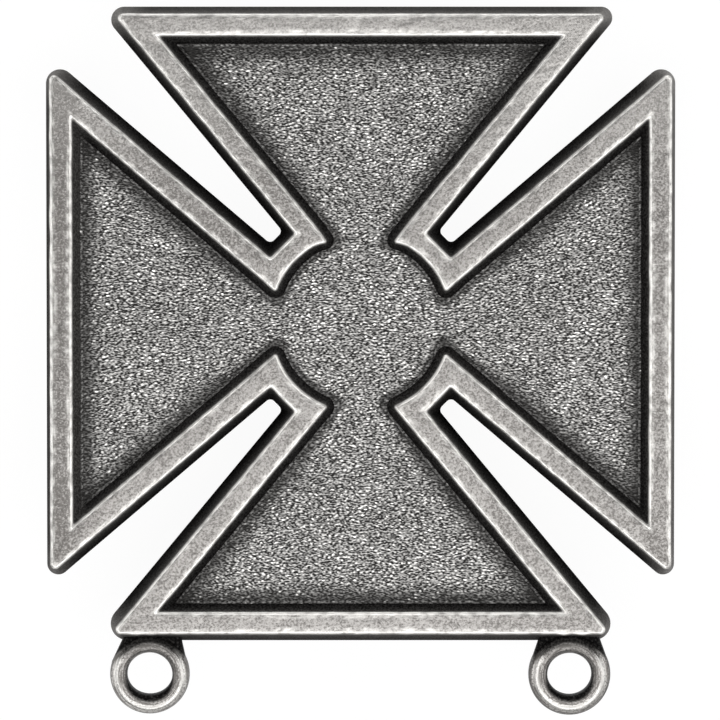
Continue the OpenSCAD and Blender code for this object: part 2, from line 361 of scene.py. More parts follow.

# The darkening of the outer wall was rubbed thinner along the straight edges and most
# of all at the tips. On the whole right edge and on the inner wall of the left one,
# which face +X, it is thinned by painted light. Columns are counted from the middle
# of the nearest edge, and the share of the tips is softened along the ring.
edge_rub, tip_rub, right_painted_light, left_rub, left_inner_painted_light = 0.08, 0.42, 0.24, 0.02, 0.12
per_quarter = columns // 4
from_middle = np.arange(columns) % per_quarter
from_middle = np.minimum(from_middle, per_quarter - from_middle)
edge_share = from_middle <= edge_points
tip_share = 1.0 * ((from_middle > edge_points) & (from_middle <= edge_points + tip_points))
for shift in (1, 2, 3):
    tip_share = (np.roll(tip_share, shift) + tip_share + np.roll(tip_share, -shift)) / 3
outer_wall = (np.arange(rows) < rows // 2)[:, None]
dark = wall_share * (1 - (edge_rub * edge_share + tip_rub * tip_share) * outer_wall)
dark = dark * (1 - right_painted_light * smooth_step(x, 12.2, 12.5) - left_rub * smooth_step(-x, 12.2, 12.5))
dark = dark * (1 - left_inner_painted_light * smooth_step(-x, 10.9, 11.3) * ~outer_wall)
# Painted shade darkens the face beside the upper left gap and a little beside the
# lower right one, and more along the left edge than along the right one
diagonal = bell(x + y, 3.2)
face_painted_shade = 0.5 * diagonal * smooth_step(y - x, 4, 9) + 0.22 * diagonal * smooth_step(x - y, 8, 14)
face_painted_shade = face_painted_shade + 0.7 * smooth_step(-x, 11.1, 11.8) + 0.3 * smooth_step(x, 11.1, 11.8)
cast_plate = build_piece(
    "cast_plate", plate_points, wrapped_faces(rows, columns), caps=end_caps(rows, columns),
    masks={"rubbed_and_painted_light": rubbed_and_painted_light.ravel(), "dark": dark.ravel(), "face_painted_shade": face_painted_shade.ravel()},
)


def linear(code):
    """An sRGB hex colour as linear red, green, blue and alpha."""
    shares = np.array([int(code[i:i + 2], 16) / 255 for i in (1, 3, 5)])
    straight = np.where(shares <= 0.04045, shares / 12.92, ((shares + 0.055) / 1.055) ** 2.4)
    return (*straight.tolist(), 1.0)


def add(tree, kind, settings=(), inputs=()):
    """Adds a node with its settings, and links or sets its inputs."""
    made = tree.nodes.new(kind)
    for name, value in dict(settings).items():
        setattr(made, name, value)
    for name, value in dict(inputs).items():
        if isinstance(value, bpy.types.NodeSocket):
            tree.links.new(value, made.inputs[name])
        else:
            made.inputs[name].default_value = value
    return made


def new_finish(name):
    """An empty material and its tree."""
    finish = bpy.data.materials.new(name)
    finish.use_nodes = True
    finish.node_tree.nodes.clear()
    return finish, finish.node_tree


def close_finish(tree, shader):
    """Leads the shader to the material's surface."""
    add(tree, "ShaderNodeOutputMaterial", inputs={"Surface": shader.outputs[0]})


def per_mm(size):
    """How often a pattern of a size in mm repeats in a metre."""
    return 1 / (size * metres_in_mm)


# Antiqued silver plate on a casting: the rubbed silver shows as a warm light grey,
# with dark specks of the darkening left in its pores, and the walls stay black. The
# pores are finer than a pixel, which is 0.04 mm, and are drawn as coarse as two.
silver_mid, silver_light = linear("#aba8a5"), linear("#f4f2ee")
silver_dark, pore_dark = linear("#0c0b0b"), linear("#6a6764")
pore_size, cloud_size = 0.08, 1.4
antiqued_plate, tree = new_finish("antiqued_silver_plate")
place = add(tree, "ShaderNodeTexCoord").outputs["Object"]
rubbed_and_painted_light_mask, dark_mask, face_painted_shade_mask = (
    add(tree, "ShaderNodeAttribute", {"attribute_name": mask}).outputs["Fac"]
    for mask in ("rubbed_and_painted_light", "dark", "face_painted_shade"))
speck = add(tree, "ShaderNodeTexNoise", inputs={
    "Vector": place, "Scale": per_mm(pore_size), "Detail": 3.0, "Roughness": 0.6}).outputs["Fac"]
cloud = add(tree, "ShaderNodeTexNoise", inputs={
    "Vector": place, "Scale": per_mm(cloud_size), "Detail": 4.0, "Roughness": 0.6}).outputs["Fac"]
darker_patches = add(tree, "ShaderNodeMapRange", inputs={
    "Value": cloud, "From Min": 0.3, "From Max": 0.7, "To Max": 0.35}).outputs["Result"]
# Painted shade on the face is added to the darker patches of cloud
darker_patches = add(tree, "ShaderNodeMath", {"operation": "ADD"}, {0: darker_patches, 1: face_painted_shade_mask}).outputs[0]
# Where it is cloudy or under the painted shade, more of the pores show
pitted = add(tree, "ShaderNodeMath", {"operation": "MULTIPLY_ADD"}, {
    0: darker_patches, 1: -0.16, 2: speck}).outputs[0]
pores = add(tree, "ShaderNodeMapRange", {"interpolation_type": "SMOOTHSTEP"}, {
    "Value": pitted, "From Min": 0.27, "From Max": 0.62, "To Min": 1.0, "To Max": 0.0}).outputs["Result"]
face_colour = add(tree, "ShaderNodeMix", {"data_type": "RGBA"}, {
    0: pores, 6: silver_mid, 7: pore_dark}).outputs[2]
# The rubbed edges are lightened, and the painted light makes the top a little lighter
face_colour = add(tree, "ShaderNodeMix", {"data_type": "RGBA"}, {
    0: rubbed_and_painted_light_mask, 6: face_colour, 7: silver_light}).outputs[2]
wall_noise = add(tree, "ShaderNodeMath", {"operation": "MULTIPLY_ADD"}, {
    0: speck, 1: -0.2, 2: 0.1}).outputs[0]
# The walls' darkening, thinned by painted light on the right edge and on the left arm's inner wall, turns
# the colour nearly black
wall_mask = add(tree, "ShaderNodeMath", {"operation": "MULTIPLY_ADD", "use_clamp": True}, {
    0: dark_mask, 1: wall_noise, 2: dark_mask}).outputs[0]
plate_colour = add(tree, "ShaderNodeMix", {"data_type": "RGBA"}, {
    0: wall_mask, 6: face_colour, 7: silver_dark}).outputs[2]
plate_metal = add(tree, "ShaderNodeMath", {"operation": "MULTIPLY_ADD", "use_clamp": True}, {
    0: wall_mask, 1: -1.0, 2: 1.0}).outputs[0]
plate_roughness = add(tree, "ShaderNodeMapRange", inputs={
    "Value": wall_mask, "To Min": 0.4, "To Max": 0.75}).outputs["Result"]
plate_bump = add(tree, "ShaderNodeBump", inputs={
    "Strength": 0.6, "Distance": 0.00002, "Height": speck}).outputs["Normal"]
# The black of the walls is a sooty deposit without gloss, so it has no specular level
close_finish(tree, add(tree, "ShaderNodeBsdfPrincipled", inputs={
    "Base Color": plate_colour, "Metallic": plate_metal, "Roughness": plate_roughness,
    "Specular IOR Level": 0.0, "Normal": plate_bump}))
cast_plate.data.materials.append(antiqued_plate)
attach(cast_plate, "root")
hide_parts("cross")


# The field is the sunk floor of the casting, struck with a fine wrinkled grain. It
# is built as a middle and four arms whose relief runs on from one to the next. The
# darkening stays in its valleys, and beside the walls it is darkening and painted
# shadow, widest by the top wall. Slopes towards -Y are painted lighter.
field_level = 6.9
slab_thickness = 0.2
# where the middle ends and the arms begin, and the angle to the arm of a line from
# the crossing to the cut's end
cut, cut_angle = 3.8, np.radians(22)
# how far an arm's slab runs on under the wall, at its edge and sideways at its flanks
end_margin, side_margin = 0.12, 0.16
middle_points = 236
foot_edge = edge_reach - edge_draft - edge_border - wall_run
foot_flank = flank_out - wall_draft - flank_border - wall_run
foot_circle = middle_radius - wall_run
foot_corner = middle_corner + wall_run
fine_patches = rolled_noise(13, 0.22, 0.45)
# The wrinkles are about 0.12 mm apart and twice as wide as high
grain_height = 0.006
grain_level = rolled_noise(21, 0.125, 0.3, 2.1)
grain_left = rolled_noise(22, 0.125, 0.3, 2.1, 0.22)
grain_right = rolled_noise(23, 0.125, 0.3, 2.1, -0.25)
grain_fine = rolled_noise(25, 0.09, 0.3, 2.0)
flow = rolled_noise(24, 5.0, 0.5)
slope_step = 0.03
fillet_height, fillet_width = 0.05, 0.16
# How dark the margin beside the walls gets: darkening and painted shadow
margin_dark = 0.78


def from_foot(x, y):
    """How far a point of the field is from the foot of the walls: the least of the
    distances to the arms' edges, and the least of those to four noses. At a nose it
    is the length of the distances from its two flanks and from the round middle,
    each if positive."""
    to_edge, to_nose = np.full(x.shape, far_from_edge), np.full(x.shape, far_from_edge)
    for arm in range(4):
        points = turned(np.stack([x, y], axis=-1), -arm * np.pi / 2)
        along, across = points[..., 0], points[..., 1]
        to_edge = np.minimum(to_edge, foot_edge[arm] - along)
        after = (arm + 1) % 4
        up, down = np.pi / 2 + flank_angle[arm], -flank_angle[after]
        sides = np.stack([
            foot_flank[arm] - along * np.cos(up) - across * np.sin(up),
            foot_flank[after] - along * np.cos(down) - across * np.sin(down),
            foot_circle - np.hypot(along, across),
        ])
        outside = np.linalg.norm(np.maximum(sides + foot_corner, 0), axis=0) - foot_corner
        to_nose = np.minimum(to_nose, outside)
    return to_edge, to_nose


def wrinkled(x, y):
    """Three relief sheets, slanted to the left, level and to the right, blended by a
    slow flow."""
    turn = sampled(flow, x, y)
    left, right = smooth_step(turn, 0.1, 1.4), smooth_step(-turn, 0.1, 1.4)
    level = (1 - left - right) * sampled(grain_level, x, y)
    return level + left * sampled(grain_left, x, y) + right * sampled(grain_right, x, y)


def grain(x, y):
    """The field's relief: the wrinkles with their square make crests that are sharper
    than the valleys, and a finer wave is added. It fades beside the walls, where a
    small fillet rises. The light left by the rubbing on the crests, with painted light
    on the slopes towards -Y, grows as a power of the crest and of that slope. It is
    less beside the walls, where darkening and painted shadow lie, but for a painted
    highlight on a thin lip at their foot. Gives the height over the field in mm, the
    share of darkening and painted shade left there and how clear of the walls it is."""
    rough = wrinkled(x, y)
    # Painted light: the slope towards -Y, so that slopes facing -Y come out lighter
    slope_for_painted_light = wrinkled(x, y + slope_step) - wrinkled(x, y - slope_step)
    crest = 0.8 * rough + 0.35 * (rough ** 2 - 1) + 0.4 * sampled(grain_fine, x, y)
    to_edge, to_nose = from_foot(x, y)
    distance = np.minimum(to_edge, to_nose)
    raised = grain_height * crest * (0.3 + 0.7 * smooth_step(distance, 0.0, 0.4))
    raised = raised + fillet_height * np.clip(1 - distance / fillet_width, 0, 1) ** 2
    # The dark margin beside the walls is darkening and painted shadow, wider away from the middle and
    # widest by the top wall
    fade = 0.14 + 0.36 * smooth_step(np.hypot(x, y), 3.9, 7.5) + 0.2 * smooth_step(y, 7, 9.5)
    clear = 1 - margin_dark * bell(np.maximum(to_edge - 0.05, 0), fade)
    clear = clear * (1 - margin_dark * bell(np.maximum(to_nose - 0.05, 0), fade))
    # The rubbed crests and the painted light on the slopes, less in the margin by the walls
    crest_and_painted_light = 0.205 * np.exp(0.374 * slope_for_painted_light + 0.425 * crest) * clear
    # A painted highlight: a thin bright lip at the foot of the walls
    painted_lip_highlight = bell(distance - 0.02, 0.03) * smooth_step(sampled(fine_patches, x, y), -0.6, 1.2)
    return raised, 1.02 - 1.08 * (crest_and_painted_light + 0.25 * painted_lip_highlight), clear


def grained_slab(name, x, y):
    """A closed slab: the grid's points at the height of the grain, and the same rim
    below them, joined by a skirt."""
    raised, shade, clear = grain(x, y)
    top = np.stack([x, y + crossing_y, field_level + raised], axis=-1).reshape(-1, 3)
    index = np.arange(x.size).reshape(x.shape)
    corners = [index[:-1, :-1], index[1:, :-1], index[1:, 1:], index[:-1, 1:]]
    faces = np.stack(corners, axis=-1).reshape(-1, 4)
    rim = np.concatenate([index[:-1, 0], index[-1, :-1], index[:0:-1, -1], index[0, :0:-1]])
    below = top[rim].copy()
    below[:, 2] = field_level - slab_thickness
    low = np.arange(len(rim)) + len(top)
    skirt = np.stack([rim, low, np.roll(low, -1), np.roll(rim, -1)], axis=-1)
    with_rim = np.concatenate([index.ravel(), rim])
    return build_piece(
        name, np.concatenate([top, below]), np.concatenate([faces, skirt]), caps=[low[::-1]],
        masks={"shade": shade.ravel()[with_rim], "clear": clear.ravel()[with_rim]},
        flat=len(faces) + np.arange(len(skirt)),
    )


def arm_slab(arm, name):
    """The grid of an arm: rows at even distances along its axis, each spread evenly
    between the two flanks, which it passes to end inside the walls. Over its first
    0.6 mm a row's half width grows from that of the cut."""
    along_points, across_points = ((164, 480), (224, 352))[arm % 2]
    along = np.linspace(cut, foot_edge[arm] + end_margin, along_points)[:, None]
    half = along * np.tan(flank_angle[arm]) + foot_flank[arm] / np.cos(flank_angle[arm]) + side_margin
    half = half + (cut * np.tan(cut_angle) - half[0]) * smooth_step(-along, -cut - 0.6, -cut)
    across = half * np.linspace(-1, 1, across_points)
    points = turned(np.stack([along + 0 * across, across], axis=-1), arm * np.pi / 2)
    return grained_slab(name, points[..., 0], points[..., 1])


def middle_slab(name):
    """The grid of the middle: columns at even distances along X, each spread evenly
    between its two ends, which lie on the cut across the arms or, nearer to the
    corners, on a circle through the ends of the cuts."""
    x = np.linspace(-cut, cut, middle_points)[:, None]
    half = np.sqrt((cut / np.cos(cut_angle)) ** 2 - x ** 2)
    y = np.minimum(half, cut) * np.linspace(-1, 1, middle_points)
    return grained_slab(name, x + 0 * y, y)


field_pieces = [middle_slab("field_middle")]
for arm, side in enumerate(("right", "top", "left", "bottom")):
    field_pieces.append(arm_slab(arm, "field_" + side))

# The same antiqued plate on the grain: its crests are rubbed bright, its slopes
# towards -Y carry painted light, and its valleys keep the darkening, so it sparkles
# grey between light and nearly black; the margin by the walls holds painted shadow
# and the foot of the walls a painted highlight. The grit on the wrinkles is finer
# than a pixel, and is drawn one high and two wide.
grit_size, grit_stretch = 0.045, 0.42
grained_plate, tree = new_finish("antiqued_silver_grain")
place = add(tree, "ShaderNodeTexCoord").outputs["Object"]
shade_mask, clear_mask = (
    add(tree, "ShaderNodeAttribute", {"attribute_name": mask}).outputs["Fac"]
    for mask in ("shade", "clear"))
wide_place = add(tree, "ShaderNodeMapping", inputs={
    "Vector": place, "Scale": (grit_stretch, 1.0, 1.0)}).outputs[0]
grit = add(tree, "ShaderNodeTexNoise", inputs={
    "Vector": wide_place, "Scale": per_mm(grit_size), "Detail": 0.0}).outputs["Fac"]
grit_shift = add(tree, "ShaderNodeMath", {"operation": "MULTIPLY_ADD"}, {
    0: grit, 1: 1.5, 2: -0.75}).outputs[0]
grain_mask = add(tree, "ShaderNodeMath", {"operation": "MULTIPLY_ADD", "use_clamp": True}, {
    0: grit_shift, 1: clear_mask, 2: shade_mask}).outputs[0]
# Light for the rubbed crests and painted light, dark for the darkening and painted shade
grain_colour = add(tree, "ShaderNodeMix", {"data_type": "RGBA"}, {
    0: grain_mask, 6: linear("#fbf9f6"), 7: linear("#302f2e")}).outputs[2]
grain_roughness = add(tree, "ShaderNodeMapRange", inputs={
    "Value": grain_mask, "To Min": 0.3, "To Max": 0.5}).outputs["Result"]
grain_bump = add(tree, "ShaderNodeBump", inputs={
    "Strength": 1.0, "Distance": 0.00002, "Height": grit}).outputs["Normal"]
close_finish(tree, add(tree, "ShaderNodeBsdfPrincipled", inputs={
    "Base Color": grain_colour, "Metallic": 1.0, "Roughness": grain_roughness, "Normal": grain_bump}))
for piece in field_pieces:
    piece.data.materials.append(grained_plate)
    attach(piece, "root")
    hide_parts("cross")


# Two hanging loops are cast on the lower edge: rings of rounded oblong section whose
# feet widen into the wall. Their crowns carry a painted highlight in fine lines round
# the eye, and the eye and the foot stay dark with darkening and painted shade.
loop_places = {"left": -8.52, "right": 8.44}
loop_centre_y = crossing_y - edge_reach[3] - 1.29
loop_middle_z = 6.345
# the radius of the eye, how much nearer its bottom is, and the radius of the ring
loop_radii = {"left": (0.91, 0.09, 1.61), "right": (0.89, 0.05, 1.66)}
# how much nearer the top of either eye is
eye_sag = 0.03
ring_half, crown_radius = 0.625, 1.29
crown_power, outer_power = 4.0, 2.4
foot_half_height, foot_softness, blend_softness = 0.425, 0.22, 0.03
line_height, line_rate = 0.0015, 62
# half the foot's width where it meets the wall, on the side of -X and of +X
foot_widths = {"left": (1.16, 1.31), "right": (1.29, 1.28)}
# the side of the foot runs from a point on the ring to one on the wall, and the foot
# ends at a line inside the wall
foot_low_x, foot_low_y, foot_high_y, foot_end_y = 0.893, 0.45, 1.31, 1.75


def loop_reach(angle, widths, ring_radius):
    """How far a loop reaches from its centre at an angle: its outer radius, or in
    the foot the nearer of the foot's leaning side and a line inside the wall."""
    reach = np.full(angle.shape, ring_radius)
    for side, width in zip((-1, 1), widths):
        low = ring_radius * np.array([side * foot_low_x, foot_low_y])
        high = np.array([side * width, foot_high_y])
        normal = side * np.array([high[1] - low[1], low[0] - high[0]])
        across = normal[0] * np.cos(angle) + normal[1] * np.sin(angle)
        line = (normal @ low) / np.where(np.abs(across) < 1e-6, 1e-6, across)
        inside = (np.sin(angle) > 0.3) & (side * np.cos(angle) > 0) & (line > 0)
        end = foot_end_y / np.maximum(np.sin(angle), 0.1)
        reach = np.where(inside, np.maximum(reach, np.minimum(line, end)), reach)
    return reach


def loop_shell(name, centre_x, widths, radii):
    """A closed grid round the eye and round the section. The ring's half height is
    an oval about its crown, of a high power towards the eye and a lower one outwards;
    the foot's is level, with an oval edge of the lower power; the loop takes the
    smooth greater one. Fine turning lines ripple its crown."""
    columns, rows = 220, 72
    eye_radius, eye_rise, ring_radius = radii
    angle = np.linspace(0, 2 * np.pi, columns, endpoint=False) - np.pi / 2
    upwards, downwards = np.maximum(np.sin(angle), 0), np.maximum(-np.sin(angle), 0)
    reach = loop_reach(angle, widths, ring_radius)
    section = np.linspace(0, 2 * np.pi, rows, endpoint=False)[:, None]
    eye = eye_radius - eye_rise * downwards ** 2 - eye_sag * upwards ** 2
    radius = eye + (reach - eye) * (0.5 - 0.5 * np.cos(section))
    inner_side = radius < crown_radius
    crown_half = np.where(inner_side, crown_radius - eye, ring_radius - crown_radius)
    power = np.where(inner_side, crown_power, outer_power)
    oval = 1 - np.minimum(np.abs(radius - crown_radius) / crown_half, 1) ** power
    ring = ring_half * oval ** (1 / power)
    rim = np.minimum((reach - radius) / foot_softness, 1)
    foot = foot_half_height * np.maximum(1 - (1 - rim) ** outer_power, 0) ** (1 / outer_power)
    foot = foot * smooth_step(radius, crown_radius - 0.1, crown_radius + 0.15)
    foot = foot * smooth_step(np.sin(angle), 0.3, 0.55)
    greater = 0.5 * (ring + foot + np.sqrt((ring - foot) ** 2 + blend_softness ** 2))
    half = np.maximum(greater - blend_softness / 2, 0)
    ripple = line_height * np.sin(radius * line_rate + 1.5 * np.sin(2 * angle))
    ripple = ripple * smooth_step(radius, 1.1, 1.25)
    x, y = radius * np.cos(angle), radius * np.sin(angle)
    z = np.sign(np.sin(section)) * half * (1 + ripple)
    points = np.stack([centre_x + x, loop_centre_y + y, loop_middle_z + z], axis=-1).reshape(-1, 3)
    # Dark round the eye and in the foot, with darkening and painted shade, on the rim and below, and a
    # painted highlight on the crown's upper side
    up = smooth_step(np.sin(angle), 0.35, 0.8)
    down = smooth_step(-np.sin(angle), 0.0, 0.9)
    eye_darkening_and_painted_shade = (1 - smooth_step(radius, 0.9 + 0.1 * down, 1.08 + 0.12 * down)) * (1 - 0.6 * up)
    foot_darkening_and_painted_shadow = up * (0.44 * smooth_step(radius, 0.98, 1.1) + 0.5 * smooth_step(radius, 1.15, 1.4))
    edge_dark = 0.75 * smooth_step(radius, 1.5, 1.61)
    underside = 0.35 * (z < 0)
    dark = np.clip(np.maximum(eye_darkening_and_painted_shade, foot_darkening_and_painted_shadow) + edge_dark + underside, 0, 1)
    bright = bell(radius - 1.36, 0.16) * (1 - up) * (z > 0)
    round_line = np.stack([x / radius, y / radius, radius], axis=-1).reshape(-1, 3)
    return build_piece(
        name, points, (wrapped_faces(rows + 1, columns) % len(points))[:, ::-1],
        masks={"dark": dark.ravel(), "rubbed_and_painted_light": bright.ravel(), "round_line": round_line},
    )


# The same antiqued plate, rubbed round the eye: fine rings of light and dark, whose
# pattern reads the direction from the eye, drawn out, and the distance from it
loop_plate, tree = new_finish("antiqued_silver_loop")
place = add(tree, "ShaderNodeTexCoord").outputs["Object"]
rubbed_and_painted_light_mask, dark_mask = (
    add(tree, "ShaderNodeAttribute", {"attribute_name": mask}).outputs["Fac"]
    for mask in ("rubbed_and_painted_light", "dark"))
round_line = add(tree, "ShaderNodeAttribute", {"attribute_name": "round_line"}).outputs["Vector"]
stretched = add(tree, "ShaderNodeMapping", inputs={
    "Vector": round_line, "Scale": (1.6, 1.6, 22.0)}).outputs[0]
streak = add(tree, "ShaderNodeTexNoise", inputs={
    "Vector": stretched, "Scale": 1.0, "Detail": 3.0, "Roughness": 0.65}).outputs["Fac"]
speck = add(tree, "ShaderNodeTexNoise", inputs={
    "Vector": place, "Scale": per_mm(pore_size), "Detail": 3.0, "Roughness": 0.6}).outputs["Fac"]
streaky = add(tree, "ShaderNodeMapRange", {"interpolation_type": "SMOOTHSTEP"}, {
    "Value": streak, "From Min": 0.4, "From Max": 0.62, "To Min": 1.0, "To Max": 0.0}).outputs["Result"]
speckled = add(tree, "ShaderNodeMapRange", {"interpolation_type": "SMOOTHSTEP"}, {
    "Value": speck, "From Min": 0.36, "From Max": 0.58, "To Min": 1.0, "To Max": 0.0}).outputs["Result"]
streaky = add(tree, "ShaderNodeMath", {"operation": "MAXIMUM"}, {0: streaky, 1: speckled}).outputs[0]
loop_colour = add(tree, "ShaderNodeMix", {"data_type": "RGBA"}, {
    0: streaky, 6: silver_mid, 7: pore_dark}).outputs[2]
# A painted highlight on the crown, broken by the streaks
loop_bright = add(tree, "ShaderNodeMath", {"operation": "MULTIPLY_ADD", "use_clamp": True}, {
    0: streaky, 1: -0.5, 2: rubbed_and_painted_light_mask}).outputs[0]
loop_colour = add(tree, "ShaderNodeMix", {"data_type": "RGBA"}, {
    0: loop_bright, 6: loop_colour, 7: silver_light}).outputs[2]
dirt = add(tree, "ShaderNodeMath", {"operation": "MULTIPLY_ADD"}, {0: speck, 1: -0.8, 2: 0.4}).outputs[0]
# The darkening, with painted shade round the eye and in the foot, speckled
loop_dark = add(tree, "ShaderNodeMath", {"operation": "ADD", "use_clamp": True}, {
    0: dark_mask, 1: dirt}).outputs[0]
loop_dark = add(tree, "ShaderNodeMath", {"operation": "MULTIPLY", "use_clamp": True}, {
    0: loop_dark, 1: dark_mask}).outputs[0]
loop_colour = add(tree, "ShaderNodeMix", {"data_type": "RGBA"}, {
    0: loop_dark, 6: loop_colour, 7: silver_dark}).outputs[2]
loop_bump = add(tree, "ShaderNodeBump", inputs={
    "Strength": 0.6, "Distance": 0.00001, "Height": streak}).outputs["Normal"]
loop_metal = add(tree, "ShaderNodeMath", {"operation": "MULTIPLY_ADD", "use_clamp": True}, {
    0: loop_dark, 1: -1.0, 2: 1.0}).outputs[0]
close_finish(tree, add(tree, "ShaderNodeBsdfPrincipled", inputs={
    "Base Color": loop_colour, "Metallic": loop_metal, "Roughness": 0.42,
    "Specular IOR Level": 0.02, "Normal": loop_bump}))
for side, centre_x in loop_places.items():
    loop = loop_shell("loop_" + side, centre_x, foot_widths[side], loop_radii[side])
    loop.data.materials.append(loop_plate)
    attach(loop, "root")
    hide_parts("cross")


# Two posts of pointed brass wire stand on the back, each soldered on with a small
# smooth fillet of solder, and plated with the casting.
post_places = {"left": -7.9, "right": 7.9}
post_radius, post_length = 0.55, 4.9
point_radius, cone_length = 0.12, 0.78
solder_radius, solder_height = 1.25, 0.3
post_sides = 72


def lathe(centre_x, radii, levels, sides):
    """A turned shell: each point of a profile, given by its radius and its height,
    becomes a ring round an upright axis."""
    angle = np.linspace(0, 2 * np.pi, sides, endpoint=False)
    x = centre_x + radii[:, None] * np.cos(angle)
    y = crossing_y + radii[:, None] * np.sin(angle)
    z = np.repeat(levels[:, None], sides, axis=1)
    return np.stack([x, y, z], axis=-1).reshape(-1, 3)


def post_profile():
    """From the tip up: a rounded point, a cone, the plain shaft, and a fillet of
    solder whose radius grows as a quarter of an oval and ends inside the plate."""
    tip_z = plate_back - post_length
    turn = np.radians([8, 25, 45, 65, 85])
    fillet = np.radians(np.linspace(0, 90, 12))
    radii = [
        point_radius * np.sin(turn), np.linspace(point_radius + 0.02, post_radius - 0.02, 8),
        np.full(4, post_radius), solder_radius - (solder_radius - post_radius) * np.cos(fillet),
        [solder_radius, 0.9],
    ]
    levels = [
        tip_z + 0.1 * (1 - np.cos(turn)), np.linspace(tip_z + 0.12, tip_z + cone_length, 8),
        np.linspace(tip_z + cone_length + 0.06, plate_back - solder_height - 0.04, 4),
        plate_back - solder_height + solder_height * np.sin(fillet),
        [plate_back + 0.06, plate_back + 0.1],
    ]
    return np.concatenate(radii), np.concatenate(levels)


# Silver plate on drawn wire: smoother and lighter than the casting, with patches of
# tarnish about as wide as the wire's radius
post_finish, tree = new_finish("plated_wire_silver")
place = add(tree, "ShaderNodeTexCoord").outputs["Object"]
patches = add(tree, "ShaderNodeTexNoise", inputs={
    "Vector": place, "Scale": per_mm(0.35), "Detail": 4.0, "Roughness": 0.6}).outputs["Fac"]
tarnished = add(tree, "ShaderNodeMapRange", inputs={
    "Value": patches, "From Min": 0.35, "From Max": 0.7, "To Max": 0.8}).outputs["Result"]
post_colour = add(tree, "ShaderNodeMix", {"data_type": "RGBA"}, {
    0: tarnished, 6: linear("#c6c3bf"), 7: linear("#6b6762")}).outputs[2]
post_bump = add(tree, "ShaderNodeBump", inputs={
    "Strength": 0.3, "Distance": 0.00001, "Height": patches}).outputs["Normal"]
close_finish(tree, add(tree, "ShaderNodeBsdfPrincipled", inputs={
    "Base Color": post_colour, "Metallic": 1.0, "Roughness": 0.3, "Normal": post_bump}))
radii, levels = post_profile()
for side, centre_x in post_places.items():
    points = lathe(centre_x, radii, levels, post_sides)
    faces, caps = wrapped_faces(len(radii), post_sides), end_caps(len(radii), post_sides)
    post = build_piece("post_" + side, points, faces, caps=caps)
    post.data.materials.append(post_finish)
    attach(post, "root")
    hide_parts("cross")


# A clutch is pushed on each post: a pressed case with a disc against the cloth and
# two sprung wings that open its grip. Its brass is bright nickel plated.
clutch_top, disc_thickness, disc_radius, dish_depth = 4.3, 0.45, 4.2, 0.05
case_radius, case_softness, case_fillet = 2.45, 0.5, 0.2
groove_depth, groove_low, groove_high = 0.12, 1.0, 2.1
bore_radius, bore_floor, mouth_radius = 0.6, 0.5, 0.15
wing_width, wing_reach, wing_thickness, wing_slope = 3.4, 4.6, 0.4, np.radians(22)
# how far from the axis a wing starts, inside the case, and the height at which the
# line of its upper side meets the axis
wing_start, wing_level = 1.2, 3.35
hollow_depth, hollow_width, curl_height = 0.07, 0.5, 0.16
clutch_sides, wing_sides = 96, 48


def clutch_profile():
    """From the middle of the end, outwards and up: a flat, a rounded edge, the case
    with a shallow pressed groove, the underside of the disc, its rounded rim, its
    dished top, the rounded mouth of the bore, and the bore down to its floor."""
    turn = np.radians(np.linspace(0, 90, 10))
    rim = np.radians(np.linspace(-90, 90, 17))
    groove = np.linspace(0, 1, 17)
    half = disc_thickness / 2
    under, dish = clutch_top - disc_thickness, clutch_top - dish_depth
    radii = [
        [0.05, 0.9, 1.6], case_radius - case_softness + case_softness * np.sin(turn),
        case_radius - groove_depth * np.sin(np.pi * groove) ** 2, [case_radius, case_radius],
        case_radius + case_fillet * (1 - np.cos(turn)), [3.2, 3.7],
        disc_radius - half + half * np.cos(rim), [3.5, 3.2, 2.9, 1.4, 0.9],
        bore_radius + mouth_radius * (1 - np.sin(turn)),
        [bore_radius, bore_radius, bore_radius, 0.3, 0.05],
    ]
    levels = [
        [0.0, 0.0, 0.0], case_softness * (1 - np.cos(turn)),
        groove_low + (groove_high - groove_low) * groove, [2.6, 3.4],
        under - case_fillet + case_fillet * np.sin(turn), [under, under],
        clutch_top - half + half * np.sin(rim), [clutch_top, clutch_top - 0.03, dish, dish, dish],
        dish - mouth_radius + mouth_radius * np.cos(turn),
        [3.0, 1.5, bore_floor, bore_floor, bore_floor],
    ]
    return np.concatenate(radii), np.concatenate(levels)


def wing_shell(centre_x, side):
    """A closed grid of sections along a wing. Each section is a rounded oblong, an
    oval of power 5. Its width is even and then falls as a half circle, and its
    middle line slopes down and curls up a little at the end. A pressed hollow runs
    along its middle."""
    round_end = wing_width / 2
    tab = wing_reach / np.cos(wing_slope) - round_end
    fall = np.radians(np.linspace(0, 89.5, 30))
    along = np.concatenate([np.linspace(wing_start, tab - 0.05, 24), tab + round_end * np.sin(fall)])
    width = np.concatenate([np.full(24, round_end), round_end * np.cos(fall)])[:, None]
    along = along[:, None]
    turn = np.linspace(0, 2 * np.pi, wing_sides, endpoint=False)
    c, s = np.cos(turn), np.sin(turn)
    oblong = (np.abs(c) ** 5 + np.abs(s) ** 5) ** -0.2
    half = np.minimum(wing_thickness / 2, width * 0.9 + 0.02)
    across, thick = width * c * oblong, half * s * oblong
    hollow = hollow_depth * bell(across, hollow_width)
    hollow = hollow * smooth_step(along, 2.6, 3.2) * smooth_step(-along, -4.6, -4.2)
    curl = curl_height * smooth_step(along, tab, tab + round_end)
    out = along * np.cos(wing_slope) + thick * np.sin(wing_slope)
    level = wing_level - along * np.sin(wing_slope) + (thick - half) * np.cos(wing_slope)
    points = [centre_x + side * across, crossing_y + side * out, level + curl - hollow]
    return np.stack(points, axis=-1)


